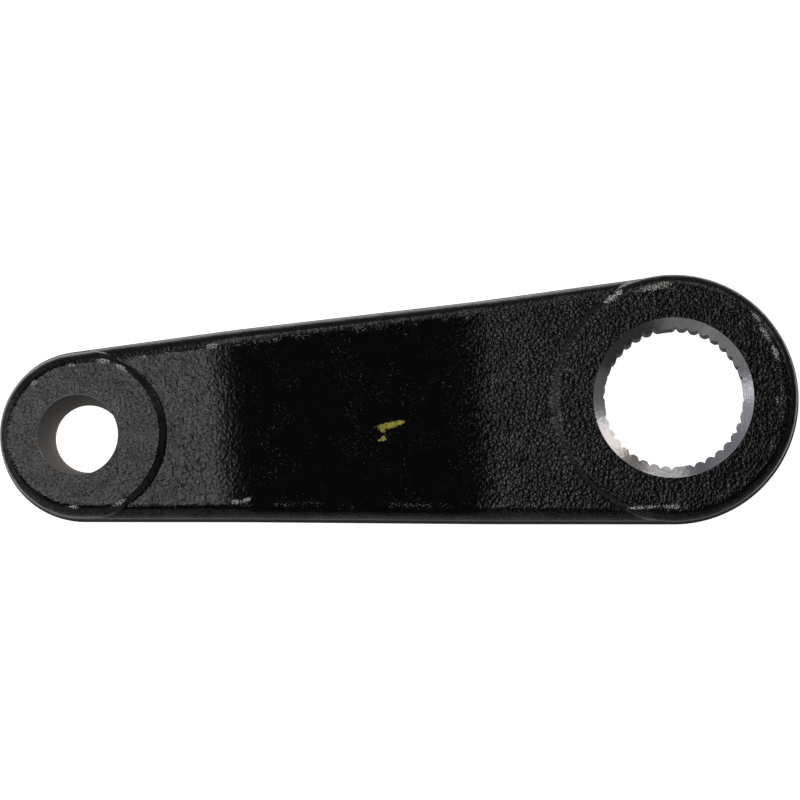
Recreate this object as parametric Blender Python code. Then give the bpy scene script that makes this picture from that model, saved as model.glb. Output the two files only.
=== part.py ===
"""Forged pitman arm, in one piece: a drop arm with a serrated bore for the steering shaft at its
large end and a tapered bore for a ball stud at its small end.

The origin is on the serrated bore's axis, in the gear-side face of the large boss. +Z points from
that face to the nut-side face, and +X points along the arm to the stud bore. Lengths are in metres.
"""

import math

import bmesh
import bpy
from mathutils import Matrix

# The two bosses and the drop between them
EYE_DISTANCE = 0.130  # from the shaft bore's axis to the stud bore's axis
SHAFT_BOSS_HEIGHT = 0.024
STUD_BOSS_HEIGHT = 0.0216
FACE_OFFSET = 0.0145  # from the large boss's nut face up to the small boss's upper face

# The forging's outline at its parting line, where the flash was trimmed off
SHAFT_END_RADIUS = 0.0276
STUD_END_RADIUS = 0.0188
STUD_END_INSET = 0.0005  # the small end's outline is centred this far inboard of its bore,
STUD_BOSS_INSET = 0.0011  # and its boss this far, because the bore was drilled off centre
TRIM_LAND = 0.0012
BOSS_DRAFT = math.radians(3.0)
WEB_DRAFT = math.radians(5.0)

# The web between the bosses
WEB_THICKNESS = 0.018
SHAFT_STEP = 0.0010  # the web's upper face lies this far below the nut face
STUD_STEP = 0.0013
SHAFT_BEND = 0.0431  # from the shaft axis to the bend that starts the drop
STUD_BEND = 0.0343  # from the stud axis to the bend that ends it
SHAFT_BEND_RADIUS = 0.030
STUD_BEND_RADIUS = 0.040

# Edges of the faces: rounded on the web and the large boss, machined flat on the small boss
WEB_CORNER = 0.0034
SHAFT_CORNER = 0.0025
STUD_CORNER = 0.0015

# The serration, measured where it meets the nut face
SERRATION_PITCHES = 40
MASTER_TEETH = 4  # each fills in one groove
SERRATION_INDEX = math.radians(3.5)  # from the arm's centreline to a master tooth's middle
GROOVE_ROOT_RADIUS = 0.01584
GROOVE_DEPTH = 0.00073
GROOVE_ANGLE = math.radians(80.0)
SERRATION_TAPER = 1 / 16  # growth of the diameter per length
LEAD_IN_WIDTH = 0.0018  # of the chamfers at both mouths, from the groove roots out
LEAD_IN_ANGLE = math.radians(30.0)  # between a chamfer and the face that it starts from

# The stud bore, measured in the small boss's upper face
STUD_BORE_RADIUS = 0.0088
STUD_TAPER = 1 / 8

# Fineness of the round shapes, and how far a cutter reaches past the face that it cuts
RING_SEGMENTS = 96
CORNER_STEPS = 5
BEND_STEPS = 8
CUT_MARGIN = 0.001

# Heights that follow from the sizes above
SHAFT_WEB_TOP = SHAFT_BOSS_HEIGHT - SHAFT_STEP
STUD_FACE = SHAFT_BOSS_HEIGHT + FACE_OFFSET
STUD_BOSS_BOTTOM = STUD_FACE - STUD_BOSS_HEIGHT
WEB_RISE = STUD_FACE - STUD_STEP - SHAFT_WEB_TOP
SHAFT_PARTING = SHAFT_WEB_TOP - WEB_THICKNESS / 2
STUD_PARTING = SHAFT_PARTING + WEB_RISE

# The slope of the drop, and where its two bends start and end
SLOPE = math.atan2(WEB_RISE, EYE_DISTANCE - SHAFT_BEND - STUD_BEND)
DROP_START = SHAFT_BEND - SHAFT_BEND_RADIUS * math.tan(SLOPE / 2)
DROP_END = EYE_DISTANCE - STUD_BEND + STUD_BEND_RADIUS * math.tan(SLOPE / 2)
SHAFT_BEND_RUN = SHAFT_BEND_RADIUS * math.sin(SLOPE)
STUD_BEND_RUN = STUD_BEND_RADIUS * math.sin(SLOPE)

# Radii that follow: the teeth's tips, and the mouths of the serration at both faces
TOOTH_TIP_RADIUS = GROOVE_ROOT_RADIUS - GROOVE_DEPTH
NUT_MOUTH_RADIUS = GROOVE_ROOT_RADIUS + LEAD_IN_WIDTH
GEAR_MOUTH_RADIUS = NUT_MOUTH_RADIUS + SHAFT_BOSS_HEIGHT * SERRATION_TAPER / 2


def clear_scene():
    for obj in list(bpy.data.objects):
        bpy.data.objects.remove(obj, do_unlink=True)


def new_collection(name):
    collection = bpy.data.collections.new(name)
    bpy.context.scene.collection.children.link(collection)
    return collection


def principled(name, colour, roughness, metallic):
    material = bpy.data.materials.new(name)
    material.use_nodes = True
    shader = material.node_tree.nodes["Principled BSDF"]
    shader.inputs["Base Color"].default_value = (*colour, 1.0)
    shader.inputs["Roughness"].default_value = roughness
    shader.inputs["Metallic"].default_value = metallic
    material.diffuse_color = (*colour, 1.0)
    return material


def new_object(name, bm, collection, material):
    """A mesh object from bm, which is freed, with its normals pointing out."""
    bmesh.ops.recalc_face_normals(bm, faces=bm.faces)
    mesh = bpy.data.meshes.new(name)
    bm.to_mesh(mesh)
    bm.free()
    mesh.materials.append(material)
    obj = bpy.data.objects.new(name, mesh)
    collection.objects.link(obj)
    return obj


def new_tool(name, bm, collection, material):
    """An object that only joins or cuts others, and isn't rendered itself."""
    obj = new_object(name, bm, collection, material)
    obj.hide_render = True
    obj.display_type = "WIRE"
    return obj


def forged_levels(bottom, parting, top, draft, corner, corner_steps):
    """(height, inset) pairs of a forging's side, from its parting line out to both faces.

    The side leans in by the draft, and meets each face in a round corner, or in a flat one where
    corner_steps is 1.
    """
    levels = []
    for face, outward in ((bottom, -1), (top, 1)):
        land_end = parting + outward * TRIM_LAND / 2
        wall_end = face - outward * corner
        wall_inset = abs(wall_end - land_end) * math.tan(draft)
        levels.append((land_end, 0.0))
        for step in range(corner_steps + 1):
            turn = math.pi / 2 * step / corner_steps
            height = wall_end + outward * corner * math.sin(turn)
            levels.append((height, wall_inset + corner * (1 - math.cos(turn))))
    return levels


def close_hull(bm):
    """Wraps the points of bm in one closed skin, with its flat stretches whole again."""
    hull = bmesh.ops.convex_hull(bm, input=bm.verts, use_existing_faces=False)
    unused = [item for item in hull["geom_interior"] if isinstance(item, bmesh.types.BMVert)]
    bmesh.ops.delete(bm, geom=unused, context="VERTS")
    bmesh.ops.dissolve_limit(bm, angle_limit=math.radians(0.05), verts=bm.verts, edges=bm.edges)


def boss(name, levels, radius, parting_x, face_x, tools, material):
    """A boss around a bore. Its side leans over where its faces aren't centred on its outline."""
    bm = bmesh.new()
    for height, inset in levels:
        centre = face_x if inset else parting_x
        place = Matrix.Translation((centre, 0, height))
        bmesh.ops.create_circle(bm, segments=RING_SEGMENTS, radius=radius - inset, matrix=place)
    close_hull(bm)
    return new_tool(name, bm, tools, material)


def drop_height(x):
    """How far the bent web has risen at x: an arc, a straight slope and an arc back to level."""
    from_start = x - DROP_START
    to_end = DROP_END - x
    if from_start <= 0:
        return 0.0
    if to_end <= 0:
        return WEB_RISE
    if from_start < SHAFT_BEND_RUN:
        return SHAFT_BEND_RADIUS - math.sqrt(SHAFT_BEND_RADIUS**2 - from_start**2)
    if to_end < STUD_BEND_RUN:
        return WEB_RISE - STUD_BEND_RADIUS + math.sqrt(STUD_BEND_RADIUS**2 - to_end**2)
    return (x - SHAFT_BEND) * math.tan(SLOPE)


def web(name, collection, material):
    """The bar between the bosses. Its sides touch both end circles, and the drop bends it up."""
    stud_x = EYE_DISTANCE - STUD_END_INSET
    lean = math.asin((SHAFT_END_RADIUS - STUD_END_RADIUS) / stud_x)
    bottom = SHAFT_WEB_TOP - WEB_THICKNESS
    levels = forged_levels(
        bottom, SHAFT_PARTING, SHAFT_WEB_TOP, WEB_DRAFT, WEB_CORNER, CORNER_STEPS
    )
    bm = bmesh.new()
    for height, inset in levels:
        for centre, end_radius in ((0.0, SHAFT_END_RADIUS), (stud_x, STUD_END_RADIUS)):
            radius = end_radius - inset
            x = centre + radius * math.sin(lean)
            y = radius * math.cos(lean)
            bm.verts.new((x, y, height))
            bm.verts.new((x, -y, height))
    close_hull(bm)
    bends = ((DROP_START, SHAFT_BEND_RUN), (DROP_END - STUD_BEND_RUN, STUD_BEND_RUN))
    for start, run in bends:
        for step in range(BEND_STEPS + 1):
            cut = (start + run * step / BEND_STEPS, 0, 0)
            everything = bm.verts[:] + bm.edges[:] + bm.faces[:]
            bmesh.ops.bisect_plane(bm, geom=everything, plane_co=cut, plane_no=(1, 0, 0))
    for vert in bm.verts:
        vert.co.z += drop_height(vert.co.x)
    return new_object(name, bm, collection, material)


def serration_outline():
    """(radius, angle) of the serrated bore's section at the nut face."""
    pitch = math.tau / SERRATION_PITCHES
    half_groove = GROOVE_DEPTH * math.tan(GROOVE_ANGLE / 2) / TOOTH_TIP_RADIUS
    outline = []
    for index in range(SERRATION_PITCHES):
        middle = SERRATION_INDEX + index * pitch
        is_master = index * MASTER_TEETH % SERRATION_PITCHES < MASTER_TEETH
        if is_master:
            outline.append((TOOTH_TIP_RADIUS, middle))
        else:
            outline.append((TOOTH_TIP_RADIUS, middle - half_groove))
            outline.append((GROOVE_ROOT_RADIUS, middle))
            outline.append((TOOTH_TIP_RADIUS, middle + half_groove))
        outline.append((TOOTH_TIP_RADIUS, middle + pitch / 2))
    return outline


def serration_cutter(tools, material):
    """The shaft's own end: a tapered plug with a ridge for each groove of the bore."""
    top = SHAFT_BOSS_HEIGHT + CUT_MARGIN
    bottom = -CUT_MARGIN
    bm = bmesh.new()
    upper = [
        bm.verts.new((radius * math.cos(angle), radius * math.sin(angle), top))
        for radius, angle in serration_outline()
    ]
    cap = bm.faces.new(upper)
    grown = bmesh.ops.extrude_face_region(bm, geom=[cap])
    lower = [item for item in grown["geom"] if isinstance(item, bmesh.types.BMVert)]
    bmesh.ops.translate(bm, verts=lower, vec=(0, 0, bottom - top))
    for ring, height in ((upper, top), (lower, bottom)):
        growth = (SHAFT_BOSS_HEIGHT - height) * SERRATION_TAPER / 2
        factor = 1 + growth / GROOVE_ROOT_RADIUS
        bmesh.ops.scale(bm, verts=ring, vec=(factor, factor, 1))
    return new_tool("serration_cutter", bm, tools, material)


def cone_cutter(name, x, bottom, bottom_radius, top, top_radius, tools, material):
    bm = bmesh.new()
    bmesh.ops.create_cone(
        bm,
        cap_ends=True,
        segments=RING_SEGMENTS,
        radius1=bottom_radius,
        radius2=top_radius,
        depth=top - bottom,
        matrix=Matrix.Translation((x, 0, (bottom + top) / 2)),
    )
    return new_tool(name, bm, tools, material)


def lead_in_cutters(tools, material):
    """Cones that chamfer both mouths of the serration, down past its teeth."""
    inner_radius = TOOTH_TIP_RADIUS - CUT_MARGIN
    fall = math.tan(LEAD_IN_ANGLE)
    nut_depth = (NUT_MOUTH_RADIUS - inner_radius) * fall
    gear_depth = (GEAR_MOUTH_RADIUS - inner_radius) * fall
    margin_growth = CUT_MARGIN / fall
    nut_cutter = cone_cutter(
        "nut_lead_in_cutter",
        0.0,
        SHAFT_BOSS_HEIGHT - nut_depth,
        inner_radius,
        SHAFT_BOSS_HEIGHT + CUT_MARGIN,
        NUT_MOUTH_RADIUS + margin_growth,
        tools,
        material,
    )
    gear_cutter = cone_cutter(
        "gear_lead_in_cutter",
        0.0,
        -CUT_MARGIN,
        GEAR_MOUTH_RADIUS + margin_growth,
        gear_depth,
        inner_radius,
        tools,
        material,
    )
    return [nut_cutter, gear_cutter]


def stud_bore_cutter(tools, material):
    """The ball stud's taper, which is wider at the small boss's upper face."""
    margin_growth = CUT_MARGIN * STUD_TAPER / 2
    bottom_radius = STUD_BORE_RADIUS - STUD_BOSS_HEIGHT * STUD_TAPER / 2
    return cone_cutter(
        "stud_bore_cutter",
        EYE_DISTANCE,
        STUD_BOSS_BOTTOM - CUT_MARGIN,
        bottom_radius - margin_growth,
        STUD_FACE + CUT_MARGIN,
        STUD_BORE_RADIUS + margin_growth,
        tools,
        material,
    )


def combine(obj, tool, operation):
    modifier = obj.modifiers.new(f"{operation.lower()} {tool.name}", "BOOLEAN")
    modifier.operation = operation
    modifier.solver = "EXACT"
    modifier.material_mode = "TRANSFER"
    modifier.object = tool


def keep_result(obj):
    """Makes the modified shape the object's own mesh, smooth but for its real edges."""
    graph = bpy.context.evaluated_depsgraph_get()
    mesh = bpy.data.meshes.new_from_object(obj.evaluated_get(graph))
    obj.modifiers.clear()
    obj.data = mesh
    mesh.name = obj.name
    mesh.shade_smooth()
    mesh.set_sharp_from_angle(angle=math.radians(25.0))


def main():
    clear_scene()
    parts = new_collection("pitman_arm")
    tools = new_collection("cutters")
    paint = principled("black_paint", (0.012, 0.012, 0.012), 0.4, 0.0)
    steel = principled("machined_steel", (0.5, 0.49, 0.47), 0.35, 1.0)

    arm = web("pitman_arm", parts, paint)
    shaft_levels = forged_levels(
        0.0, SHAFT_PARTING, SHAFT_BOSS_HEIGHT, BOSS_DRAFT, SHAFT_CORNER, CORNER_STEPS
    )
    stud_levels = forged_levels(
        STUD_BOSS_BOTTOM, STUD_PARTING, STUD_FACE, BOSS_DRAFT, STUD_CORNER, 1
    )
    stud_x = EYE_DISTANCE - STUD_END_INSET
    stud_face_x = EYE_DISTANCE - STUD_BOSS_INSET
    bosses = [
        boss("shaft_boss", shaft_levels, SHAFT_END_RADIUS, 0.0, 0.0, tools, paint),
        boss("stud_boss", stud_levels, STUD_END_RADIUS, stud_x, stud_face_x, tools, paint),
    ]
    for tool in bosses:
        combine(arm, tool, "UNION")
    cutters = [
        serration_cutter(tools, steel),
        *lead_in_cutters(tools, steel),
        stud_bore_cutter(tools, steel),
    ]
    for tool in cutters:
        combine(arm, tool, "DIFFERENCE")
    keep_result(arm)


main()
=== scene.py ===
"""A forged pitman arm with its black paint, bare serration and chipped edges, for the studio.

It is laid out as an add-on: the settings groups hold the sizes and finishes, and each operator
makes one thing. Lengths are in metres, in the CAD model's frame, and in the materials they are in
millimetres.
"""

import math

import bmesh
import bpy
from bpy.props import FloatProperty, FloatVectorProperty, IntProperty, PointerProperty
from mathutils import Matrix, Vector


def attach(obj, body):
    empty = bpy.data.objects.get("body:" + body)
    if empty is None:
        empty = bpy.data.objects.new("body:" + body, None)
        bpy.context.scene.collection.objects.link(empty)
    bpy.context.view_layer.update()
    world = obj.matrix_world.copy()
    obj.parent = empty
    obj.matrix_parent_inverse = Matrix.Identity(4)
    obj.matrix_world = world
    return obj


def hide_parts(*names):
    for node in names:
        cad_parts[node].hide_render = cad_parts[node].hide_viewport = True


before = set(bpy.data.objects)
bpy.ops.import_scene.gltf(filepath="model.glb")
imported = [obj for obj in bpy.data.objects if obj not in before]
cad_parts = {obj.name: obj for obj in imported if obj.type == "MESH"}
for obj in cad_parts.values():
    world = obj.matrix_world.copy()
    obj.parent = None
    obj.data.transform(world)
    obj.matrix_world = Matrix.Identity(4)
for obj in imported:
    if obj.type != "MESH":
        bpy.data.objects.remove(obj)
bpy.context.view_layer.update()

bl_info = {
    "name": "Pitman arm",
    "version": (1, 0, 0),
    "blender": (4, 5, 0),
    "location": "3D View > Sidebar > Pitman arm",
    "description": "Builds a painted steel pitman arm and the studio that it is seen in",
    "category": "Object",
}


def length(name, description, default):
    return FloatProperty(
        name=name, description=description, default=default, min=0.0, precision=5, unit="LENGTH"
    )


def angle(name, description, degrees):
    return FloatProperty(
        name=name, description=description, default=math.radians(degrees), subtype="ANGLE"
    )


def colour(name, description, default):
    return FloatVectorProperty(
        name=name, description=description, default=default, min=0.0, max=1.0, subtype="COLOR"
    )


def factor(name, description, default):
    return FloatProperty(
        name=name, description=description, default=default, min=0.0, max=1.0, subtype="FACTOR"
    )


def number(name, description, default):
    return FloatProperty(name=name, description=description, default=default, min=0.0)


class ForgingSizes(bpy.types.PropertyGroup):
    """Sizes of the forging, as the CAD model has them"""

    eye_distance: length("Eye distance", "From the shaft bore's axis to the stud bore's", 0.130)
    shaft_boss_height: length("Shaft boss height", "Height of the large boss", 0.024)
    stud_boss_height: length("Stud boss height", "Height of the small boss", 0.0216)
    face_offset: length("Face offset", "From the large boss's face up to the small one's", 0.0145)
    shaft_end_radius: length("Shaft end radius", "Large end's outline", 0.0276)
    stud_end_radius: length("Stud end radius", "Small end's outline", 0.0188)
    stud_end_inset: length("Stud end inset", "Small end's outline, inboard of its bore", 0.0005)
    stud_boss_inset: length("Stud boss inset", "Small boss, inboard of its bore", 0.0011)
    trim_land: length("Trim land", "Height of the band where the flash was trimmed off", 0.0012)
    boss_draft: angle("Boss draft", "Lean of the bosses' sides", 3.0)
    web_draft: angle("Web draft", "Lean of the web's sides", 5.0)
    web_thickness: length("Web thickness", "Thickness of the bar between the bosses", 0.018)
    shaft_step: length("Shaft step", "From the large boss's face down to the web", 0.0010)
    stud_step: length("Stud step", "From the small boss's face down to the web", 0.0013)
    shaft_bend: length("Shaft bend", "From the shaft axis to the drop's first bend", 0.0431)
    stud_bend: length("Stud bend", "From the stud axis to the drop's last bend", 0.0343)
    shaft_bend_radius: length("Shaft bend radius", "Radius of the first bend", 0.030)
    stud_bend_radius: length("Stud bend radius", "Radius of the last bend", 0.040)
    web_corner: length("Web corner", "Round edge of the web's faces", 0.0034)
    shaft_corner: length("Shaft corner", "Round edge of the large boss's faces", 0.0025)
    stud_corner: length("Stud corner", "Machined edge of the small boss's faces", 0.0015)
    rim_turn: angle("Rim turn", "How far the web's round edge runs on round the small end", 12.0)
    rim_softness: length("Rim softness", "Round edge between that rim and the faces", 0.00306)
    rim_spare: length("Rim spare", "Keeps that rim's skin clear of the web's sides", 0.00002)
    edge_break: length("Edge break", "Wear on the small boss's machined edges", 0.00022)
    upper_foot: length("Upper foot", "Fillet where the large boss stands up from the web", 0.0006)
    crisp_foot: length("Crisp foot", "The same, at the small boss", 0.0003)
    lower_foot: length("Lower foot", "Fillet where the large boss hangs below it", 0.0006)
    small_lower_foot: length("Small lower foot", "The same, at the small boss", 0.0006)


class BoreSizes(bpy.types.PropertyGroup):
    """Sizes of the two bores"""

    pitches: IntProperty(
        name="Pitches", description="Serration pitches round the bore", default=40, min=8
    )
    master_teeth: IntProperty(
        name="Master teeth", description="Pitches whose groove is left out", default=4, min=0
    )
    index: angle("Index", "From the arm's centreline to a master tooth's middle", 3.5)
    groove_root_radius: length("Groove root radius", "At the nut face", 0.01584)
    groove_depth: length("Groove depth", "From the teeth's tips to the grooves' roots", 0.00073)
    groove_mouth: angle("Groove mouth", "Width of a groove's worn mouth, round the bore", 6.4)
    groove_wear: number("Groove wear", "1 is straight, and more rounds the teeth's tips", 1.45)
    serration_taper: number("Serration taper", "Growth of the diameter per length", 1 / 16)
    lead_in_width: length("Lead-in width", "Chamfer at both mouths of the serration", 0.0018)
    lead_in_angle: angle("Lead-in angle", "Between that chamfer and the face", 30.0)
    stud_bore_radius: length("Stud bore radius", "In the small boss's upper face", 0.0088)
    stud_taper: number("Stud taper", "Growth of the diameter per length", 1 / 8)
    mouth_break: length("Mouth break", "Small chamfer at the stud bore's mouth", 0.00014)


class FinishSettings(bpy.types.PropertyGroup):
    """Colours and surface of the paint and of the bare steel"""

    paint: colour("Paint", "Black paint", (0.0022, 0.0022, 0.0021))
    paint_roughness: factor("Paint roughness", "Semi-gloss", 0.18)
    # Bare metal where chips take the paint off. This near white also serves as a painted
    # highlight, standing in for the glint of bare metal
    chip_and_glint: colour("Chip", "What shows where the paint is chipped", (0.95, 0.93, 0.88))
    mark: colour("Paint mark", "Inspector's dab of yellow", (0.80, 0.70, 0.10))
    coarse_width: length("Coarse pebble", "Width of the bumps at the large end", 0.00072)
    coarse_height: length("Coarse pebble height", "Height of those bumps", 0.000060)
    fine_width: length("Fine pebble", "Width of the bumps at the small end", 0.00070)
    fine_height: length("Fine pebble height", "Height of those bumps", 0.000110)
    steel: colour("Steel", "Bare machined steel", (0.56, 0.55, 0.56))
    cool_steel: colour("Cool steel", "Tint on the side toward the free end", (0.50, 0.50, 0.58))
    warm_steel: colour("Warm steel", "Tint on the side toward the web", (0.62, 0.56, 0.53))
    oiled_steel: colour("Oiled steel", "Tint of the teeth at the back", (0.56, 0.55, 0.47))
    # The bore's oxide: this colour goes on the side painted lighter and the next one on the side
    # painted darker, as painted light and shade
    reamed: colour("Reamed bore", "Dull oxide in the stud bore", (0.25, 0.21, 0.19))
    shaded_reamed: colour("Dark reamed bore", "The oxide on its darker side", (0.095, 0.086, 0.068))


class StudioSettings(bpy.types.PropertyGroup):
    """Floor, light and camera"""

    floor: colour("Floor", "Plain pale floor", (0.86, 0.86, 0.86))
    floor_gap: length("Floor gap", "From the floor up to the arm's underside", 0.0002)
    floor_glow: number("Floor glow", "Light that the lit table gives by itself", 1.0)
    overhead: number("Overhead panel", "Brightness of the panel over the small end", 1.40)
    side: number("Side panel", "Brightness of the panel past the small end", 0.42)
    rear: number("Rear panel", "Brightness of the panel at the back", 1.0)
    corner: number("Corner panel", "Brightness of the panel behind the large end", 1.05)
    fill: number("Fill panels", "Brightness of the dim panels in between", 0.18)
    room: number("Room", "Brightness of the dim room overhead", 0.03)
    far_table: number("Far table", "Brightness of the lit table behind the arm", 1.5)
    haze: number("Haze", "Brightness low down behind the arm", 0.12)
    near_table: number("Near table", "Brightness of the table in front of the arm", 0.35)
    focal_length: FloatProperty(
        name="Focal length",
        description="Camera lens on a 36 mm wide sensor",
        default=220.06,
        unit="CAMERA",
    )
    camera_place: FloatVectorProperty(
        name="Camera place",
        description="Where the camera stands",
        default=(0.003868, 0.057410, 1.0975),
        subtype="TRANSLATION",
        unit="LENGTH",
        precision=4,
    )
    camera_turn: FloatVectorProperty(
        name="Camera turn",
        description="How the camera is turned",
        default=(math.radians(3.0434), math.radians(3.2024), math.radians(176.2462)),
        subtype="EULER",
    )


# Shapes

# Millimetres in a metre
MM = 1000

# Segments of a full circle of the outline
ROUND = 192

# How far a cutting tool reaches past what it cuts
CUT_MARGIN = 0.001

# Faces that turn less than this are one flat face
FLAT_TURN = math.radians(0.02)

# Points that lie closer than this after a Boolean are one point
HAIRLINE = 2e-6

# Edges that turn more than this stay crisp in the shading
CRISP_TURN = math.radians(28)


class ArmLevels:
    """Heights, slopes and end circles that follow from the forging's sizes."""

    def __init__(self, sizes):
        self.shaft_face = sizes.shaft_boss_height
        self.stud_face = sizes.shaft_boss_height + sizes.face_offset
        self.stud_bottom = self.stud_face - sizes.stud_boss_height
        self.web_top = self.shaft_face - sizes.shaft_step
        self.web_bottom = self.web_top - sizes.web_thickness
        self.rise = self.stud_face - sizes.stud_step - self.web_top
        self.shaft_parting = self.web_top - sizes.web_thickness / 2
        self.stud_parting = self.shaft_parting + self.rise
        self.stud_end_x = sizes.eye_distance - sizes.stud_end_inset
        self.ends = (
            (0.0, sizes.shaft_end_radius),
            (self.stud_end_x, sizes.stud_end_radius),
        )
        self.stud_face_x = sizes.eye_distance - sizes.stud_boss_inset
        self.shaft_bend = sizes.shaft_bend
        self.slope = math.atan2(
            self.rise, sizes.eye_distance - sizes.shaft_bend - sizes.stud_bend
        )
        self.shaft_bend_radius = sizes.shaft_bend_radius
        self.stud_bend_radius = sizes.stud_bend_radius
        half_turn = math.tan(self.slope / 2)
        self.drop_start = sizes.shaft_bend - sizes.shaft_bend_radius * half_turn
        self.drop_end = sizes.eye_distance - sizes.stud_bend + sizes.stud_bend_radius * half_turn
        self.shaft_bend_run = sizes.shaft_bend_radius * math.sin(self.slope)
        self.stud_bend_run = sizes.stud_bend_radius * math.sin(self.slope)

    def risen(self, x):
        """How far the bent web has risen at x: an arc, a straight slope and another arc."""
        from_start = x - self.drop_start
        to_end = self.drop_end - x
        if from_start <= 0:
            return 0.0
        if to_end <= 0:
            return self.rise
        if from_start < self.shaft_bend_run:
            radius = self.shaft_bend_radius
            return radius - math.sqrt(radius**2 - from_start**2)
        if to_end < self.stud_bend_run:
            radius = self.stud_bend_radius
            return self.rise - radius + math.sqrt(radius**2 - to_end**2)
        return (x - self.shaft_bend) * math.tan(self.slope)


def forged_side(faces, parting, land, draft, corner, turns):
    """(height, inset) rings of a forging's side, from its parting line out to both faces.

    turns are the angles of the rings on the round corner, from the wall, 0, to the face, 90.
    """
    rings = []
    for face, outward in zip(faces, (-1, 1)):
        land_end = parting + outward * land / 2
        wall_end = face - outward * corner
        wall_inset = abs(wall_end - land_end) * math.tan(draft)
        rings.append((land_end, 0.0))
        for turn in turns:
            height = wall_end + outward * corner * math.sin(math.radians(turn))
            rings.append((height, wall_inset + corner * (1 - math.cos(math.radians(turn)))))
    return rings


def close_hull(bm):
    """Wraps the points of bm in one closed skin, with its flat stretches whole again."""
    hull = bmesh.ops.convex_hull(bm, input=bm.verts, use_existing_faces=False)
    unused = [item for item in hull["geom_interior"] if isinstance(item, bmesh.types.BMVert)]
    bmesh.ops.delete(bm, geom=unused, context="VERTS")
    bmesh.ops.dissolve_limit(bm, angle_limit=FLAT_TURN, verts=bm.verts, edges=bm.edges)


def round_edges(bm, edges, offset, segments):
    bmesh.ops.bevel(
        bm,
        geom=edges,
        offset=offset,
        offset_type="OFFSET",
        affect="EDGES",
        segments=segments,
        profile=0.5,
        material=-1,
    )


def object_of(name, bm, materials):
    """A mesh object from bm, which is freed, with its normals pointing out."""
    bmesh.ops.recalc_face_normals(bm, faces=bm.faces)
    mesh = bpy.data.meshes.new(name)
    bm.to_mesh(mesh)
    bm.free()
    for material in materials:
        mesh.materials.append(material)
    obj = bpy.data.objects.new(name, mesh)
    bpy.context.scene.collection.objects.link(obj)
    return obj


def boss(name, rings, radius, outline_x, face_x, edge_break, paint):
    """A boss round a bore. A flat corner gets its two edges broken."""
    bm = bmesh.new()
    for height, inset in rings:
        place = Matrix.Translation((face_x if inset else outline_x, 0, height))
        bmesh.ops.create_circle(bm, segments=ROUND, radius=radius - inset, matrix=place)
    close_hull(bm)
    if edge_break:
        corners = [edge for edge in bm.edges if edge.calc_face_angle(0) > CRISP_TURN]
        round_edges(bm, corners, edge_break, 2)
    return object_of(name, bm, [paint])


def stud_rim(sizes, levels, paint):
    """The web's sides and round edges, carried on round the small end and up to the boss's faces.

    The part of the boss inside this is kept, so its outer side runs on from the web's.
    """
    spare = sizes.rim_spare
    turn_steps = 4
    turns = [
        math.degrees(sizes.rim_turn) * step / turn_steps for step in range(turn_steps + 1)
    ]
    rings = forged_side(
        (levels.web_bottom + levels.rise, levels.web_top + levels.rise),
        levels.stud_parting,
        sizes.trim_land,
        sizes.web_draft,
        sizes.web_corner,
        turns,
    )
    below, above = rings[len(turns)], rings[-1]
    for (height, inset), face, outward in (
        (below, levels.stud_bottom - spare, -1),
        (above, levels.stud_face + spare, 1),
    ):
        corner_inset = inset + abs(face - height) * math.tan(sizes.rim_turn)
        left = math.pi / 2 - sizes.rim_turn
        reach = sizes.rim_softness * math.tan(left / 2)
        soft_steps = 8
        for step in range(soft_steps + 1):
            turn = sizes.rim_turn + left * step / soft_steps
            rings.append(
                (
                    face - outward * sizes.rim_softness * (1 - math.sin(turn)),
                    corner_inset + reach - sizes.rim_softness * math.cos(turn),
                )
            )
    bm = bmesh.new()
    for height, inset in rings:
        for centre, end_radius in levels.ends:
            place = Matrix.Translation((centre, 0, height))
            radius = end_radius + spare - inset
            bmesh.ops.create_circle(bm, segments=ROUND, radius=radius, matrix=place)
    close_hull(bm)
    return object_of("stud_rim", bm, [paint])


def web(sizes, levels, paint):
    """The bar between the bosses. Its sides touch both end circles, and the drop bends it up."""
    lean = math.asin((sizes.shaft_end_radius - sizes.stud_end_radius) / levels.stud_end_x)
    rings = forged_side(
        (levels.web_bottom, levels.web_top),
        levels.shaft_parting,
        sizes.trim_land,
        sizes.web_draft,
        sizes.web_corner,
        [10 * step for step in range(10)],
    )
    bm = bmesh.new()
    for height, inset in rings:
        for centre, end_radius in levels.ends:
            radius = end_radius - inset
            x = centre + radius * math.sin(lean)
            y = radius * math.cos(lean)
            bm.verts.new((x, y, height))
            bm.verts.new((x, -y, height))
    close_hull(bm)
    bends = (
        (levels.drop_start, levels.shaft_bend_run),
        (levels.drop_end - levels.stud_bend_run, levels.stud_bend_run),
    )
    bend_steps = 12
    for start, run in bends:
        for step in range(bend_steps + 1):
            cut = (start + run * step / bend_steps, 0, 0)
            everything = bm.verts[:] + bm.edges[:] + bm.faces[:]
            bmesh.ops.bisect_plane(bm, geom=everything, plane_co=cut, plane_no=(1, 0, 0))
    for vert in bm.verts:
        vert.co.z += levels.risen(vert.co.x)
    return object_of("forging", bm, [paint])


# Grooves that a burr fills, counted in pitches from the index, and how much of them is left
BURRED_GROOVES = (18, 19)
BURRED_SHARE = 0.3


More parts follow.
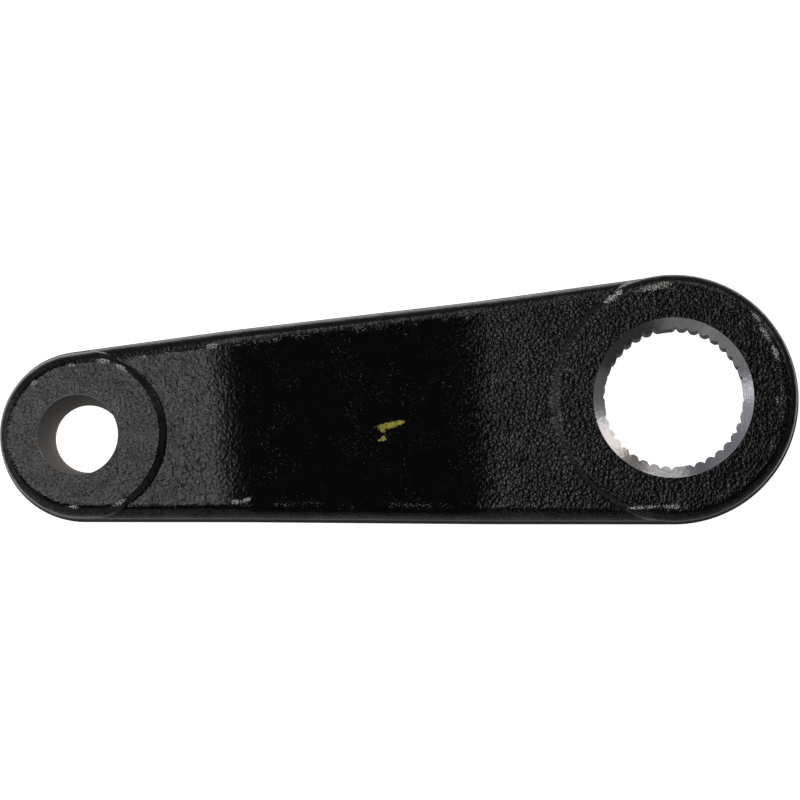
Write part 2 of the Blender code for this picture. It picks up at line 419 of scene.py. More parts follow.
def serration_plug(sizes, bores, steel):
    """The shaft's own end: a tapered plug whose rim swells out into a ridge at each groove."""
    points_per_pitch = 18
    tip_radius = bores.groove_root_radius - bores.groove_depth
    pitch = math.tau / bores.pitches
    bm = bmesh.new()
    top = sizes.shaft_boss_height + CUT_MARGIN
    bmesh.ops.create_circle(
        bm,
        cap_ends=True,
        segments=bores.pitches * points_per_pitch,
        radius=tip_radius,
        matrix=Matrix.Translation((0, 0, top)) @ Matrix.Rotation(bores.index, 4, "Z"),
    )
    for vert in bm.verts:
        around = (math.atan2(vert.co.y, vert.co.x) - bores.index) % math.tau / pitch
        tooth = round(around)
        if tooth * bores.master_teeth % bores.pitches < bores.master_teeth:
            continue
        from_middle = abs(around - tooth) * pitch / (bores.groove_mouth / 2)
        ridge = bores.groove_depth * max(0.0, 1 - from_middle) ** bores.groove_wear
        if tooth in BURRED_GROOVES:
            ridge *= BURRED_SHARE
        vert.co.x *= 1 + ridge / tip_radius
        vert.co.y *= 1 + ridge / tip_radius
    upper = bm.verts[:]
    grown = bmesh.ops.extrude_face_region(bm, geom=bm.faces[:])
    lower = [item for item in grown["geom"] if isinstance(item, bmesh.types.BMVert)]
    bmesh.ops.translate(bm, verts=lower, vec=(0, 0, -top - CUT_MARGIN))
    for ring, height in ((upper, top), (lower, -CUT_MARGIN)):
        growth = (sizes.shaft_boss_height - height) * bores.serration_taper / 2
        wider = 1 + growth / bores.groove_root_radius
        bmesh.ops.scale(bm, verts=ring, vec=(wider, wider, 1))
    return object_of("serration_plug", bm, [steel])


def cone(name, x, bottom, bottom_radius, top, top_radius, material):
    """An upright cone, which stands over x on the arm's centreline."""
    bm = bmesh.new()
    bmesh.ops.create_cone(
        bm,
        cap_ends=True,
        segments=240,
        radius1=bottom_radius,
        radius2=top_radius,
        depth=top - bottom,
        matrix=Matrix.Translation((x, 0, (bottom + top) / 2)),
    )
    return object_of(name, bm, [material])


def lead_in_cones(sizes, bores, steel):
    """Cones that chamfer both mouths of the serration, down past its teeth."""
    fall = math.tan(bores.lead_in_angle)
    nut_mouth = bores.groove_root_radius + bores.lead_in_width
    gear_mouth = nut_mouth + sizes.shaft_boss_height * bores.serration_taper / 2
    inner = bores.groove_root_radius - bores.groove_depth - CUT_MARGIN
    face = sizes.shaft_boss_height
    nut_cone = cone(
        "nut_lead_in",
        0.0,
        face - (nut_mouth - inner) * fall,
        inner,
        face + CUT_MARGIN,
        nut_mouth + CUT_MARGIN / fall,
        steel,
    )
    gear_cone = cone(
        "gear_lead_in",
        0.0,
        -CUT_MARGIN,
        gear_mouth + CUT_MARGIN / fall,
        (gear_mouth - inner) * fall,
        inner,
        steel,
    )
    return [nut_cone, gear_cone]


def stud_bore_cones(sizes, bores, levels, oxide, steel):
    """The ball stud's taper, wider at the upper face, and the small chamfer round its mouth."""
    slope = bores.stud_taper / 2
    bottom = levels.stud_bottom
    top = levels.stud_face
    radius = bores.stud_bore_radius
    low_radius = radius - sizes.stud_boss_height * slope
    taper = cone(
        "stud_taper",
        sizes.eye_distance,
        bottom - CUT_MARGIN,
        low_radius - CUT_MARGIN * slope,
        top + CUT_MARGIN,
        radius + CUT_MARGIN * slope,
        oxide,
    )
    mouth = cone(
        "stud_mouth",
        sizes.eye_distance,
        top - CUT_MARGIN,
        radius + bores.mouth_break - CUT_MARGIN,
        top + CUT_MARGIN,
        radius + bores.mouth_break + CUT_MARGIN,
        steel,
    )
    return [taper, mouth]


def merge_hairlines(bm):
    """Closes the hairline gaps that a Boolean's rounding leaves."""
    bmesh.ops.remove_doubles(bm, verts=bm.verts, dist=HAIRLINE)
    bmesh.ops.dissolve_degenerate(bm, edges=bm.edges, dist=HAIRLINE)


def shaped(obj, tools, operation):
    """Joins tools to obj or cuts them out of it one by one, and deletes them."""
    for tool in tools:
        modifier = obj.modifiers.new(tool.name, "BOOLEAN")
        modifier.operation = operation
        modifier.solver = "EXACT"
        modifier.material_mode = "TRANSFER"
        modifier.object = tool
        graph = bpy.context.evaluated_depsgraph_get()
        mesh = bpy.data.meshes.new_from_object(obj.evaluated_get(graph))
        obj.modifiers.clear()
        bm = bmesh.new()
        bm.from_mesh(mesh)
        merge_hairlines(bm)
        bm.to_mesh(mesh)
        bm.free()
        obj.data = mesh
        mesh.name = obj.name
        bpy.data.objects.remove(tool, do_unlink=True)


def fillet_feet(obj, sizes, levels):
    """Rounds the concave corners where the bosses stand up from the web and hang below it."""
    # From and to as shares of the distance between the bores, height, fillet and segments
    feet = (
        (0.0, 0.5, levels.web_top, sizes.upper_foot, 3),
        (0.0, 0.5, levels.web_bottom, sizes.lower_foot, 3),
        (0.5, 1.0, levels.web_top + levels.rise, sizes.crisp_foot, 2),
        (0.5, 1.0, levels.web_bottom + levels.rise, sizes.small_lower_foot, 3),
    )
    reach = sizes.web_corner * 0.75
    least_turn = math.radians(18)
    bm = bmesh.new()
    bm.from_mesh(obj.data)
    for start, end, height, fillet, segments in feet:
        corners = []
        for edge in bm.edges:
            middle = (edge.verts[0].co + edge.verts[1].co) / 2
            along = middle.x / sizes.eye_distance
            near = abs(middle.z - height) < reach
            if start < along < end and near and edge.is_manifold:
                if edge.calc_face_angle_signed() < -least_turn:
                    corners.append(edge)
        round_edges(bm, corners, fillet, segments)
    bmesh.ops.recalc_face_normals(bm, faces=bm.faces)
    bm.to_mesh(obj.data)
    bm.free()


def mark_levels(obj, levels):
    """Keeps each point's height on the unbent forging, for the trim line's finish."""
    layer = obj.data.attributes.new("level", "FLOAT", "POINT")
    for vert, item in zip(obj.data.vertices, layer.data):
        item.value = (vert.co.z - levels.risen(vert.co.x)) * MM


# Materials


def new_material(name):
    """A material, its node tree, and its shader."""
    material = bpy.data.materials.new(name)
    material.use_nodes = True
    tree = material.node_tree
    return material, tree, tree.nodes["Principled BSDF"]


def feed(tree, socket, value):
    """Links value to the socket, or sets it where value is a plain one."""
    if isinstance(value, bpy.types.NodeSocket):
        tree.links.new(value, socket)
    else:
        socket.default_value = value


def calc(tree, operation, *values):
    node = tree.nodes.new("ShaderNodeMath")
    node.operation = operation
    for socket, value in zip(node.inputs, values):
        feed(tree, socket, value)
    return node.outputs[0]


def total(tree, *values):
    result = values[0]
    for value in values[1:]:
        result = calc(tree, "ADD", result, value)
    return result


def product(tree, *values):
    result = values[0]
    for value in values[1:]:
        result = calc(tree, "MULTIPLY", result, value)
    return result


def radius_of(tree, x, y):
    """How far (x, y) lies from (0, 0)."""
    return calc(tree, "SQRT", total(tree, product(tree, x, x), product(tree, y, y)))


def either(tree, *masks):
    result = masks[0]
    for mask in masks[1:]:
        result = calc(tree, "MAXIMUM", result, mask)
    return result


def fade(tree, value, start, end):
    """0 before start and 1 after end, or the other way round where end is less than start."""
    node = tree.nodes.new("ShaderNodeMapRange")
    node.interpolation_type = "SMOOTHSTEP"
    rising = end > start
    feed(tree, node.inputs["Value"], value)
    node.inputs["From Min"].default_value = min(start, end)
    node.inputs["From Max"].default_value = max(start, end)
    node.inputs["To Min"].default_value = 0.0 if rising else 1.0
    node.inputs["To Max"].default_value = 1.0 if rising else 0.0
    return node.outputs["Result"]


def bell(tree, value, middle, reach):
    """1 at middle, falling to 0 at reach to either side."""
    away = calc(tree, "ABSOLUTE", calc(tree, "SUBTRACT", value, middle))
    return fade(tree, away, reach, 0.0)


def blended(tree, share, first, second):
    """A mix of two numbers."""
    node = tree.nodes.new("ShaderNodeMix")
    feed(tree, node.inputs["Factor"], share)
    feed(tree, node.inputs["A"], first)
    feed(tree, node.inputs["B"], second)
    return node.outputs["Result"]


def tinted(tree, share, first, second):
    """A mix of two colours."""
    node = tree.nodes.new("ShaderNodeMix")
    node.data_type = "RGBA"
    feed(tree, node.inputs["Factor"], share)
    for socket, value in ((node.inputs[6], first), (node.inputs[7], second)):
        feed(tree, socket, value if isinstance(value, bpy.types.NodeSocket) else (*value, 1.0))
    return node.outputs[2]


def scaled(tint, share):
    return [share * value for value in tint]


def millimetres(tree):
    """The point on the surface in millimetres, and its three numbers."""
    source = tree.nodes.new("ShaderNodeTexCoord")
    point = tree.nodes.new("ShaderNodeVectorMath")
    point.operation = "SCALE"
    point.inputs["Scale"].default_value = MM
    tree.links.new(source.outputs["Object"], point.inputs[0])
    split = tree.nodes.new("ShaderNodeSeparateXYZ")
    tree.links.new(point.outputs[0], split.inputs[0])
    return point.outputs[0], split.outputs


def facing(tree):
    """The surface's own up-and-down facing, from -1 to 1."""
    source = tree.nodes.new("ShaderNodeTexCoord")
    split = tree.nodes.new("ShaderNodeSeparateXYZ")
    tree.links.new(source.outputs["Normal"], split.inputs[0])
    return split.outputs["Z"]


def stretched(tree, point, scale):
    """The point with its three numbers scaled, to stretch what is patterned on it."""
    node = tree.nodes.new("ShaderNodeMapping")
    node.vector_type = "VECTOR"
    tree.links.new(point, node.inputs["Vector"])
    node.inputs["Scale"].default_value = scale
    return node.outputs[0]


def noise(tree, point, size, detail=2.0, rough=0.5):
    """Soft noise from 0 to 1, with features about that many millimetres across."""
    node = tree.nodes.new("ShaderNodeTexNoise")
    feed(tree, node.inputs["Vector"], point)
    node.inputs["Scale"].default_value = 1 / size
    node.inputs["Detail"].default_value = detail
    node.inputs["Roughness"].default_value = rough
    return node.outputs[0]


def line_noise(tree, distance, size, detail=2.0):
    """Noise that changes only with one distance, as tool marks do."""
    node = tree.nodes.new("ShaderNodeTexNoise")
    node.noise_dimensions = "1D"
    feed(tree, node.inputs["W"], distance)
    node.inputs["Scale"].default_value = 1 / size
    node.inputs["Detail"].default_value = detail
    return node.outputs[0]


def pebbles(tree, point, size):
    """Distance to the nearest of scattered points, as a share of their spacing."""
    node = tree.nodes.new("ShaderNodeTexVoronoi")
    tree.links.new(point, node.inputs["Vector"])
    node.inputs["Scale"].default_value = 1 / size
    return node.outputs["Distance"]


def domes(tree, point, size):
    """Rounded bumps packed side by side, from 0 between them to 1 on top."""
    wander = tree.nodes.new("ShaderNodeTexNoise")
    tree.links.new(point, wander.inputs["Vector"])
    wander.inputs["Scale"].default_value = 1.3 / size
    wander.inputs["Detail"].default_value = 1.0
    moved = tree.nodes.new("ShaderNodeVectorMath")
    moved.operation = "MULTIPLY_ADD"
    tree.links.new(wander.outputs["Color"], moved.inputs[0])
    moved.inputs[1].default_value = (0.9 * size, 0.9 * size, 0.9 * size)
    tree.links.new(point, moved.inputs[2])
    distance = pebbles(tree, moved.outputs[0], size)
    return calc(tree, "SUBTRACT", 1.0, product(tree, distance, distance, 2.0))


def bumped(tree, height):
    """A surface normal from a height in millimetres."""
    node = tree.nodes.new("ShaderNodeBump")
    node.inputs["Strength"].default_value = 1.0
    node.inputs["Distance"].default_value = 1 / MM
    tree.links.new(height, node.inputs["Height"])
    return node.outputs["Normal"]


def outline_inset(tree, axes, sizes, levels):
    """Millimetres inboard of the arm's outline, seen from above."""
    large = sizes.shaft_end_radius * MM
    small = sizes.stud_end_radius * MM
    apart = levels.stud_end_x * MM
    lean = (large - small) / apart
    rise = math.sqrt(1 - lean**2)
    x = axes["X"]
    y = calc(tree, "ABSOLUTE", axes["Y"])
    along = calc(tree, "SUBTRACT", product(tree, x, rise), product(tree, y, lean))
    flank = total(tree, product(tree, x, lean), product(tree, y, rise))
    past = calc(tree, "SUBTRACT", x, apart)
    in_side = calc(tree, "SUBTRACT", large, flank)
    in_large = calc(tree, "SUBTRACT", large, radius_of(tree, x, y))
    in_small = calc(tree, "SUBTRACT", small, radius_of(tree, past, y))
    behind = calc(tree, "LESS_THAN", along, 0.0)
    beyond = calc(tree, "GREATER_THAN", along, apart * rise)
    return blended(tree, beyond, blended(tree, behind, in_side, in_large), in_small)


class PaintSurface:
    """What the paint's patterns follow: places in millimetres, and masks from 0 to 1."""

    def __init__(self, tree, sizes, levels):
        self.point, self.axes = millimetres(tree)
        up = facing(tree)
        self.level_face = calc(tree, "ABSOLUTE", up)
        self.is_flat = fade(tree, self.level_face, 0.76, 0.94)
        self.is_top = fade(tree, up, 0.15, 0.35)
        self.large_end = fade(tree, self.axes["X"], 56.0, 40.0)
        self.inset = outline_inset(tree, self.axes, sizes, levels)
        past_bore = calc(tree, "SUBTRACT", self.axes["X"], sizes.eye_distance * MM)
        self.from_stud_bore = radius_of(tree, past_bore, self.axes["Y"])
        raggedness = noise(tree, self.point, 0.5, 3.0, 0.7)
        self.ragged = product(tree, calc(tree, "SUBTRACT", raggedness, 0.5), 2.6)


# Chips in the paint that can be told apart: centre, half size and turn, in mm and degrees
CHIPS = (
    (12.0, -22.9, 1.9, 0.6, 29),
    (10.4, -23.8, 0.9, 0.5, 25),
    (2.6, -24.5, 3.4, 0.6, 6),
    (0.4, -25.1, 1.6, 0.5, 3),
    (130.5, -15.2, 0.8, 0.4, 2),
    (123.5, -15.7, 1.3, 0.45, -12),
    (119.6, -13.9, 1.5, 0.5, -35),
    (114.6, -16.1, 0.6, 0.3, 4),
    (138.9, -11.9, 0.8, 0.45, 37),
    (121.7, 15.3, 1.4, 0.4, 28),
    (131.9, 15.7, 1.3, 0.4, -7),
    (96.4, 16.9, 1.2, 0.5, -4),
    (94.2, 16.6, 1.0, 0.45, 20),
    (99.6, -17.4, 1.3, 0.45, 4),
    (-21.0, -12.6, 0.6, 2.2, 31),
    (-22.9, -8.4, 0.5, 1.8, 20),
    (-19.3, -16.4, 0.4, 1.5, 40),
    (-22.6, 2.2, 0.3, 0.8, -6),
    (8.4, 23.6, 3.6, 0.35, 0),
    (2.0, 23.9, 1.6, 0.4, -5),
)

# The yellow dab: a stroke, the drip at its end, and the blob under that
DAB = (
    (62.6, 2.05, 2.4, 0.66, 8),
    (60.6, 1.65, 1.5, 0.50, 8),
    (64.05, 3.1, 0.55, 0.5, 0),
    (64.0, 4.9, 0.6, 0.55, -30),
    (64.9, 5.2, 0.4, 0.22, 20),
)


def patch(tree, point, ragged, place):
    """A ragged oval, which runs through the arm's whole height: 1 inside and 0 outside."""
    x, y, half_length, half_width, turn = place
    half_height = 1000
    local = tree.nodes.new("ShaderNodeMapping")
    local.vector_type = "TEXTURE"
    tree.links.new(point, local.inputs["Vector"])
    local.inputs["Location"].default_value = (x, y, 0)
    local.inputs["Rotation"].default_value = (0, 0, math.radians(turn))
    local.inputs["Scale"].default_value = (half_length, half_width, half_height)
    reach = tree.nodes.new("ShaderNodeVectorMath")
    reach.operation = "LENGTH"
    tree.links.new(local.outputs[0], reach.inputs[0])
    return fade(tree, total(tree, reach.outputs["Value"], ragged), 1.1, 0.9)


def chipped(tree, surface):
    """Where the paint is off, in chips and crumbs by the edges, and where glints are painted on.
    """
    point = surface.point
    chips = either(tree, *[patch(tree, point, surface.ragged, place) for place in CHIPS])
    flakes = fade(tree, noise(tree, point, 0.26, 2.0, 0.6), 0.46, 0.54)
    chips = product(tree, chips, surface.is_top, flakes)

    edge = bell(tree, surface.inset, 3.8, 0.8)
    edge = product(tree, edge, fade(tree, noise(tree, point, 5.0), 0.47, 0.60))
    crumbs = fade(tree, noise(tree, point, 0.28, 2.0, 0.6), 0.60, 0.66)
    crumbs = product(tree, crumbs, edge, fade(tree, surface.level_face, 0.6, 0.8))

    # Fine bright dots on the flat faces: partly paint nibs, and partly painted glints in the chip
    # colour
    nibs_and_glints = fade(tree, noise(tree, point, 0.40, 2.0, 0.6), 0.66, 0.70)
    clouds = fade(tree, noise(tree, point, 7.0), 0.46, 0.60)
    nibs_and_glints = product(tree, nibs_and_glints, clouds, surface.is_flat, 0.2)

    # A ring of painted glints round the stud bore, on its -Y side: a painted highlight in the
    # chip colour, not chipped paint
    ring = bell(tree, surface.from_stud_bore, 10.0, 2.0)
    side = fade(tree, surface.axes["Y"], 4.0, -3.0)
    painted_glints = fade(tree, noise(tree, point, 0.24, 2.0, 0.6), 0.60, 0.65)
    painted_glints = product(tree, ring, side, painted_glints, surface.is_flat, 0.8)
    return either(tree, chips, crumbs, nibs_and_glints, painted_glints)


def dabbed(tree, surface):
    """Where the yellow dab covers the paint, thin in places."""
    point = surface.point
    ragged = product(tree, surface.ragged, 0.8)
    dab = either(tree, *[patch(tree, point, ragged, place) for place in DAB])
    thin = fade(tree, noise(tree, point, 0.42, 3.0, 0.65), 0.30, 0.44)
    return product(tree, dab, thin, surface.is_top)


def pebbled(tree, surface, finish):
    """Height of the pebble, which runs across the arm: coarse at the large end, then fine."""
    point = surface.point
    across = stretched(tree, point, (1.0, 0.85, 1.0))
    coarse = domes(tree, across, finish.coarse_width * MM)
    fine = noise(tree, across, finish.fine_width * MM, 2.0, 0.45)
    pits = fade(tree, pebbles(tree, across, 1.15), 0.30, 0.12)
    pits = product(tree, pits, fade(tree, noise(tree, point, 3.0), 0.50, 0.62))
    coarse_height = product(tree, coarse, finish.coarse_height * MM)
    fine_height = product(tree, fine, finish.fine_height * MM)
    height = blended(tree, surface.large_end, fine_height, coarse_height)
    height = calc(tree, "SUBTRACT", height, product(tree, pits, 0.02))
    inboard = product(tree, fade(tree, surface.inset, 3.2, 4.6), surface.large_end, 0.3)
    return product(tree, height, either(tree, surface.is_flat, inboard))


def sheared(tree, surface, sizes, levels):
    """Height of the torn marks along the trimmed parting line on the walls."""
    level = tree.nodes.new("ShaderNodeAttribute")
    level.attribute_name = "level"
    land = sizes.trim_land * MM
    line = bell(tree, level.outputs["Fac"], levels.shaft_parting * MM, land * 0.75)
    line = product(tree, line, fade(tree, surface.level_face, 0.3, 0.1))
    upright = stretched(tree, surface.point, (1, 1, 0.12))
    return product(tree, noise(tree, upright, 0.35, 2.0, 0.6), line, 0.06)


def black_paint(sizes, levels, finish):
    """Semi-gloss black over a pebbled forging, chipped to grey at its edges."""
    material, tree, shader = new_material("black_paint")
    surface = PaintSurface(tree, sizes, levels)
    point = surface.point
    # bare: the chips and crumbs where the paint is off, together with the painted glints, which
    # all take the chip colour
    bare = chipped(tree, surface)
    dab = dabbed(tree, surface)
    grime = noise(tree, point, 0.35, 3.0, 0.7)

    clouds = noise(tree, point, 4.0, 3.0)
    tone = tinted(tree, clouds, scaled(finish.paint, 0.7), scaled(finish.paint, 1.3))
    # Colour of the chips and of the painted glints, which take the same near white as a painted
    # highlight
    chip = tinted(tree, grime, scaled(finish.chip_and_glint, 0.6), finish.chip_and_glint)
    streaks = fade(tree, noise(tree, point, 0.5, 2.0, 0.6), 0.38, 0.60)
    yellow = tinted(tree, streaks, scaled(finish.mark, 0.45), finish.mark)
    coat = tinted(tree, bare, tone, chip)
    feed(tree, shader.inputs["Base Color"], tinted(tree, dab, coat, yellow))

    # Grains of the paint that reflect more or less than the ones beside them
    grains = product(tree, noise(tree, point, 0.55, 3.0, 0.62), 0.8)
    sheen = total(tree, grains, product(tree, noise(tree, point, 3.5), 0.2))
    sheen = product(tree, fade(tree, sheen, 0.34, 0.66), 0.50)
    feed(tree, shader.inputs["Specular IOR Level"], total(tree, 0.26, sheen))
    gloss = total(tree, finish.paint_roughness - 0.03, product(tree, grime, 0.06))
    rough = blended(tree, bare, gloss, 0.6)
    feed(tree, shader.inputs["Roughness"], blended(tree, dab, rough, 0.5))
    feed(tree, shader.inputs["IOR"], 1.5)

    # Walls and round edges only have the forging's waves and a fine skin
    waves = product(tree, noise(tree, point, 4.0), 0.14)
    skin = product(tree, noise(tree, point, 0.9), 0.006)
    pebble = pebbled(tree, surface, finish)
    height = total(tree, pebble, waves, skin, sheared(tree, surface, sizes, levels))
    height = calc(tree, "SUBTRACT", height, product(tree, bare, 0.03))
    feed(tree, shader.inputs["Normal"], bumped(tree, height))
    return material


def bare_steel(name, finish, broached):
    """Machined steel. Its marks run round the chamfers, and along the bore where broached."""
    material, tree, shader = new_material(name)
    point, axes = millimetres(tree)
    x, y = axes["X"], axes["Y"]
    cool = product(tree, fade(tree, x, 6.0, -14.0), fade(tree, y, -12.0, 4.0))
    warm = product(tree, fade(tree, x, 2.0, 14.0), fade(tree, y, 0.0, 12.0))
    steel = tinted(tree, cool, finish.steel, finish.cool_steel)
    steel = tinted(tree, warm, steel, finish.warm_steel)
    if broached:
        steel = tinted(tree, fade(tree, y, -3.0, -13.0), steel, finish.oiled_steel)
        marks = noise(tree, stretched(tree, point, (1, 1, 0.05)), 0.25, 3.0, 0.6)
        mark_depth, stain_share, stain_roughness = 0.012, 0.55, 0.12
    else:
        wobble = product(tree, noise(tree, point, 4.0), 0.2)
        marks = line_noise(tree, total(tree, radius_of(tree, x, y), wobble), 0.16)
        mark_depth, stain_share, stain_roughness = 0.010, 0.25, 0.05

    stain = fade(tree, noise(tree, point, 2.2, 4.0, 0.65), 0.42, 0.72)
    stained = tinted(tree, product(tree, stain, stain_share), steel, scaled(finish.steel, 0.55))
    feed(tree, shader.inputs["Base Color"], stained)
    feed(tree, shader.inputs["Metallic"], 1.0)
    rough = total(tree, 0.17, product(tree, stain, stain_roughness), product(tree, marks, 0.10))
    feed(tree, shader.inputs["Roughness"], rough)
    dents = product(tree, noise(tree, point, 0.9), 0.03)
    height = total(tree, product(tree, marks, mark_depth), dents)
    feed(tree, shader.inputs["Normal"], bumped(tree, height))
    return material


def reamed_oxide(finish):
    """The stud bore's wall: dull brown oxide with rings from the reamer, and painted light and
    shade.
    """
    material, tree, shader = new_material("reamed_oxide")
    point, axes = millimetres(tree)
    stain = noise(tree, point, 2.5, 4.0, 0.6)
    # Not wear: painted light and shade, with the wall lighter toward +Y and darker toward -Y,
    # broken up by stain noise
    worn = fade(tree, total(tree, axes["Y"], product(tree, stain, 6.0)), -5.0, 10.0)
    light = tinted(tree, worn, finish.shaded_reamed, finish.reamed)
    dark = tinted(tree, worn, scaled(finish.shaded_reamed, 0.78), scaled(finish.reamed, 0.78))
    bands = fade(tree, line_noise(tree, axes["Z"], 1.6, 3.0), 0.35, 0.65)
    feed(tree, shader.inputs["Base Color"], tinted(tree, bands, dark, light))
    feed(tree, shader.inputs["Specular IOR Level"], 0.1)
    feed(tree, shader.inputs["Roughness"], 0.45)
    rings = product(tree, line_noise(tree, axes["Z"], 0.22, 3.0), 0.008)
    dents = product(tree, noise(tree, point, 1.2), 0.02)
    feed(tree, shader.inputs["Normal"], bumped(tree, total(tree, rings, dents)))
    return material


def pale_floor(studio):
    """The plain floor, which glows as a lit table does and so stays even."""
    material, tree, shader = new_material("pale_floor")
    clouds = noise(tree, millimetres(tree)[0], 60.0)
    tint = tinted(tree, clouds, scaled(studio.floor, 0.985), studio.floor)
    feed(tree, shader.inputs["Base Color"], tint)
    feed(tree, shader.inputs["Roughness"], 0.9)
    feed(tree, shader.inputs["Specular IOR Level"], 0.0)
    feed(tree, shader.inputs["Emission Color"], (1.0, 1.0, 1.0, 1.0))
    feed(tree, shader.inputs["Emission Strength"], studio.floor_glow)
    return material


def dim_room(studio):
    """A dim room: nearly dark overhead, and a table that is bright behind the arm."""
    world = bpy.data.worlds.new("dim_room")
    world.use_nodes = True
    tree = world.node_tree
    source = tree.nodes.new("ShaderNodeTexCoord")
    split = tree.nodes.new("ShaderNodeSeparateXYZ")
    tree.links.new(source.outputs["Generated"], split.inputs[0])
    y = split.outputs["Y"]
    z = split.outputs["Z"]
    low = product(tree, fade(tree, z, 0.0, -0.55), studio.far_table)
    haze = product(tree, fade(tree, z, 0.9, 0.4), fade(tree, y, 0.1, -0.5), studio.haze)
    near = product(tree, fade(tree, z, 0.5, -0.15), studio.near_table)
    table = blended(tree, fade(tree, y, 0.2, 0.75), total(tree, low, haze), near)
    table = product(tree, table, fade(tree, z, -0.97, -0.75))
    background = tree.nodes["Background"]
    feed(tree, background.inputs["Color"], (1.0, 1.0, 1.0, 1.0))
    feed(tree, background.inputs["Strength"], total(tree, table, studio.room))
    return world


# Operators


class OBJECT_OT_pitman_forging(bpy.types.Operator):
    """Builds the arm: web, bosses, feet and bores, with its paint and bare steel"""

    bl_idname = "object.pitman_forging"
    bl_label = "Forged arm"

    def execute(self, context):
        sizes = context.scene.pitman_forging
        bores = context.scene.pitman_bores
        finish = context.scene.pitman_finish
        levels = ArmLevels(sizes)
        paint = black_paint(sizes, levels, finish)
        turned = bare_steel("turned_steel", finish, broached=False)
        broached = bare_steel("broached_steel", finish, broached=True)
        oxide = reamed_oxide(finish)

        arm = web(sizes, levels, paint)
        shaft_rings = forged_side(
            (0.0, levels.shaft_face),
            levels.shaft_parting,
            sizes.trim_land,
            sizes.boss_draft,
            sizes.shaft_corner,
            (0, 12, 23, 34, 60, 75, 90),
        )
        stud_rings = forged_side(
            (levels.stud_bottom, levels.stud_face),
            levels.stud_parting,
            sizes.trim_land,
            sizes.boss_draft,
            sizes.stud_corner,
            (0, 90),
        )
        bosses = [
            boss("shaft_boss", shaft_rings, sizes.shaft_end_radius, 0.0, 0.0, 0.0, paint),
            boss(
                "stud_boss",
                stud_rings,
                sizes.stud_end_radius,
                levels.stud_end_x,
                levels.stud_face_x,
                sizes.edge_break,
                paint,
            ),
        ]
        shaped(bosses[1], [stud_rim(sizes, levels, paint)], "INTERSECT")
        shaped(arm, bosses, "UNION")
        cutters = [
            *stud_bore_cones(sizes, bores, levels, oxide, turned),
            serration_plug(sizes, bores, broached),
            *lead_in_cones(sizes, bores, turned),
        ]
        shaped(arm, cutters, "DIFFERENCE")
        fillet_feet(arm, sizes, levels)
        mark_levels(arm, levels)
        arm.data.shade_smooth()
        arm.data.set_sharp_from_angle(angle=CRISP_TURN)
        weighted = arm.modifiers.new("face weights", "WEIGHTED_NORMAL")
        weighted.keep_sharp = True

        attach(arm, "root")
        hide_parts("pitman_arm")
        return {"FINISHED"}


# Watts that give one square metre of a light panel a brightness of 1
PANEL_POWER = 4

# What the standing panels look at, and how far they stand from it
PANEL_TARGET = Vector((0.05, 0.0, 0.03))
PANEL_DISTANCE = 3

# Degrees from the arm's +X round to the right-hand side of the picture
PICTURE_TURN = 176.1


def light_panel(name, centre, toward, width, height, brightness):
    """A soft panel of even brightness. Its power follows from its size."""
    light = bpy.data.lights.new(name, "AREA")
    light.shape = "RECTANGLE"
    light.size = width
    light.size_y = height
    light.energy = PANEL_POWER * brightness * width * height
    panel = bpy.data.objects.new(name, light)
    bpy.context.scene.collection.objects.link(panel)
    panel.location = centre
    aim = Vector(toward) - Vector(centre)
    panel.rotation_euler = aim.to_track_quat("-Z", "Y").to_euler()


def standing_panel(name, bearing, low, high, spread, brightness):
    """A panel beside the arm, from low to high above the horizon and as wide as spread.

    bearing is the side of the picture that it stands on: 0 is right, and 90 is up. All four are
    in degrees.
    """
    around = math.radians(bearing + PICTURE_TURN)
    rise = math.radians((low + high) / 2)
    level = math.cos(rise)
    out = Vector((level * math.cos(around), level * math.sin(around), math.sin(rise)))
    width = 2 * PANEL_DISTANCE * math.tan(math.radians(spread / 2))
    height = 2 * PANEL_DISTANCE * math.tan(math.radians((high - low) / 2))
    centre = PANEL_TARGET + PANEL_DISTANCE * out
    light_panel(name, centre, PANEL_TARGET, width, height, brightness)


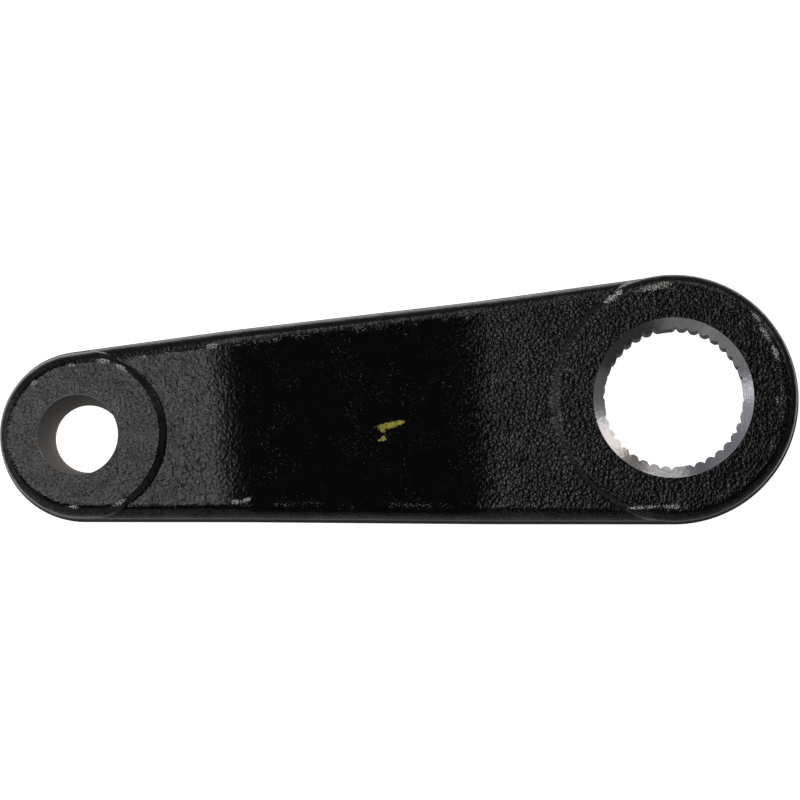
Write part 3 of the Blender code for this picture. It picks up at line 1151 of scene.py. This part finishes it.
class OBJECT_OT_pitman_studio(bpy.types.Operator):
    """Builds the floor, the light panels, the dim room and the camera"""

    bl_idname = "object.pitman_studio"
    bl_label = "Studio"

    def execute(self, context):
        scene = context.scene
        studio = scene.pitman_studio

        bm = bmesh.new()
        place = Matrix.Translation((0, 0, -studio.floor_gap))
        bmesh.ops.create_grid(bm, x_segments=2, y_segments=2, size=4.0, matrix=place)
        floor = object_of("studio_floor", bm, [pale_floor(studio)])
        floor.visible_glossy = False

        over, under = (0.655, -0.04, 0.76), (0.655, -0.04, 0.0)
        light_panel("overhead_panel", over, under, 1.13, 0.24, studio.overhead)
        standing_panel("side_panel", 180, 0, 30, 50, studio.side)
        standing_panel("rear_panel", 83, 28, 66, 24, studio.rear)
        standing_panel("corner_panel", 34, 14, 40, 26, studio.corner)
        standing_panel("near_side_fill", 225, 0, 45, 36, studio.fill)
        standing_panel("front_fill", 262, 10, 50, 34, 0.8 * studio.fill)
        standing_panel("right_fill", 0, 5, 45, 30, 0.5 * studio.fill)
        standing_panel("rear_side_fill", 140, 5, 45, 44, 0.6 * studio.fill)
        scene.world = dim_room(studio)

        camera = bpy.data.cameras.new("photo_camera")
        camera.sensor_width = 36.0
        camera.lens = studio.focal_length
        camera.clip_start = 0.05
        camera.clip_end = 50.0
        stand = bpy.data.objects.new("photo_camera", camera)
        scene.collection.objects.link(stand)
        stand.location = studio.camera_place
        stand.rotation_euler = studio.camera_turn
        scene.camera = stand
        scene.view_settings.view_transform = "Standard"
        scene.view_settings.look = "None"
        return {"FINISHED"}


class VIEW3D_PT_pitman_arm(bpy.types.Panel):
    """Sizes, finishes and the buttons that build the arm and its studio"""

    bl_idname = "VIEW3D_PT_pitman_arm"
    bl_label = "Pitman arm"
    bl_space_type = "VIEW_3D"
    bl_region_type = "UI"
    bl_category = "Pitman arm"

    def draw(self, context):
        scene = context.scene
        layout = self.layout
        layout.use_property_split = True
        layout.operator(OBJECT_OT_pitman_forging.bl_idname)
        layout.operator(OBJECT_OT_pitman_studio.bl_idname)
        groups = (
            ("Forging", scene.pitman_forging),
            ("Bores", scene.pitman_bores),
            ("Finish", scene.pitman_finish),
            ("Studio", scene.pitman_studio),
        )
        for title, group in groups:
            box = layout.box()
            box.label(text=title)
            for name in group.__annotations__:
                box.prop(group, name)


CLASSES = (
    ForgingSizes,
    BoreSizes,
    FinishSettings,
    StudioSettings,
    OBJECT_OT_pitman_forging,
    OBJECT_OT_pitman_studio,
    VIEW3D_PT_pitman_arm,
)


def register():
    for cls in CLASSES:
        bpy.utils.register_class(cls)
    bpy.types.Scene.pitman_forging = PointerProperty(type=ForgingSizes)
    bpy.types.Scene.pitman_bores = PointerProperty(type=BoreSizes)
    bpy.types.Scene.pitman_finish = PointerProperty(type=FinishSettings)
    bpy.types.Scene.pitman_studio = PointerProperty(type=StudioSettings)


def unregister():
    del bpy.types.Scene.pitman_studio
    del bpy.types.Scene.pitman_finish
    del bpy.types.Scene.pitman_bores
    del bpy.types.Scene.pitman_forging
    for cls in reversed(CLASSES):
        bpy.utils.unregister_class(cls)


def main():
    register()
    bpy.ops.object.pitman_forging()
    bpy.ops.object.pitman_studio()


if __name__ == "__main__":
    main()
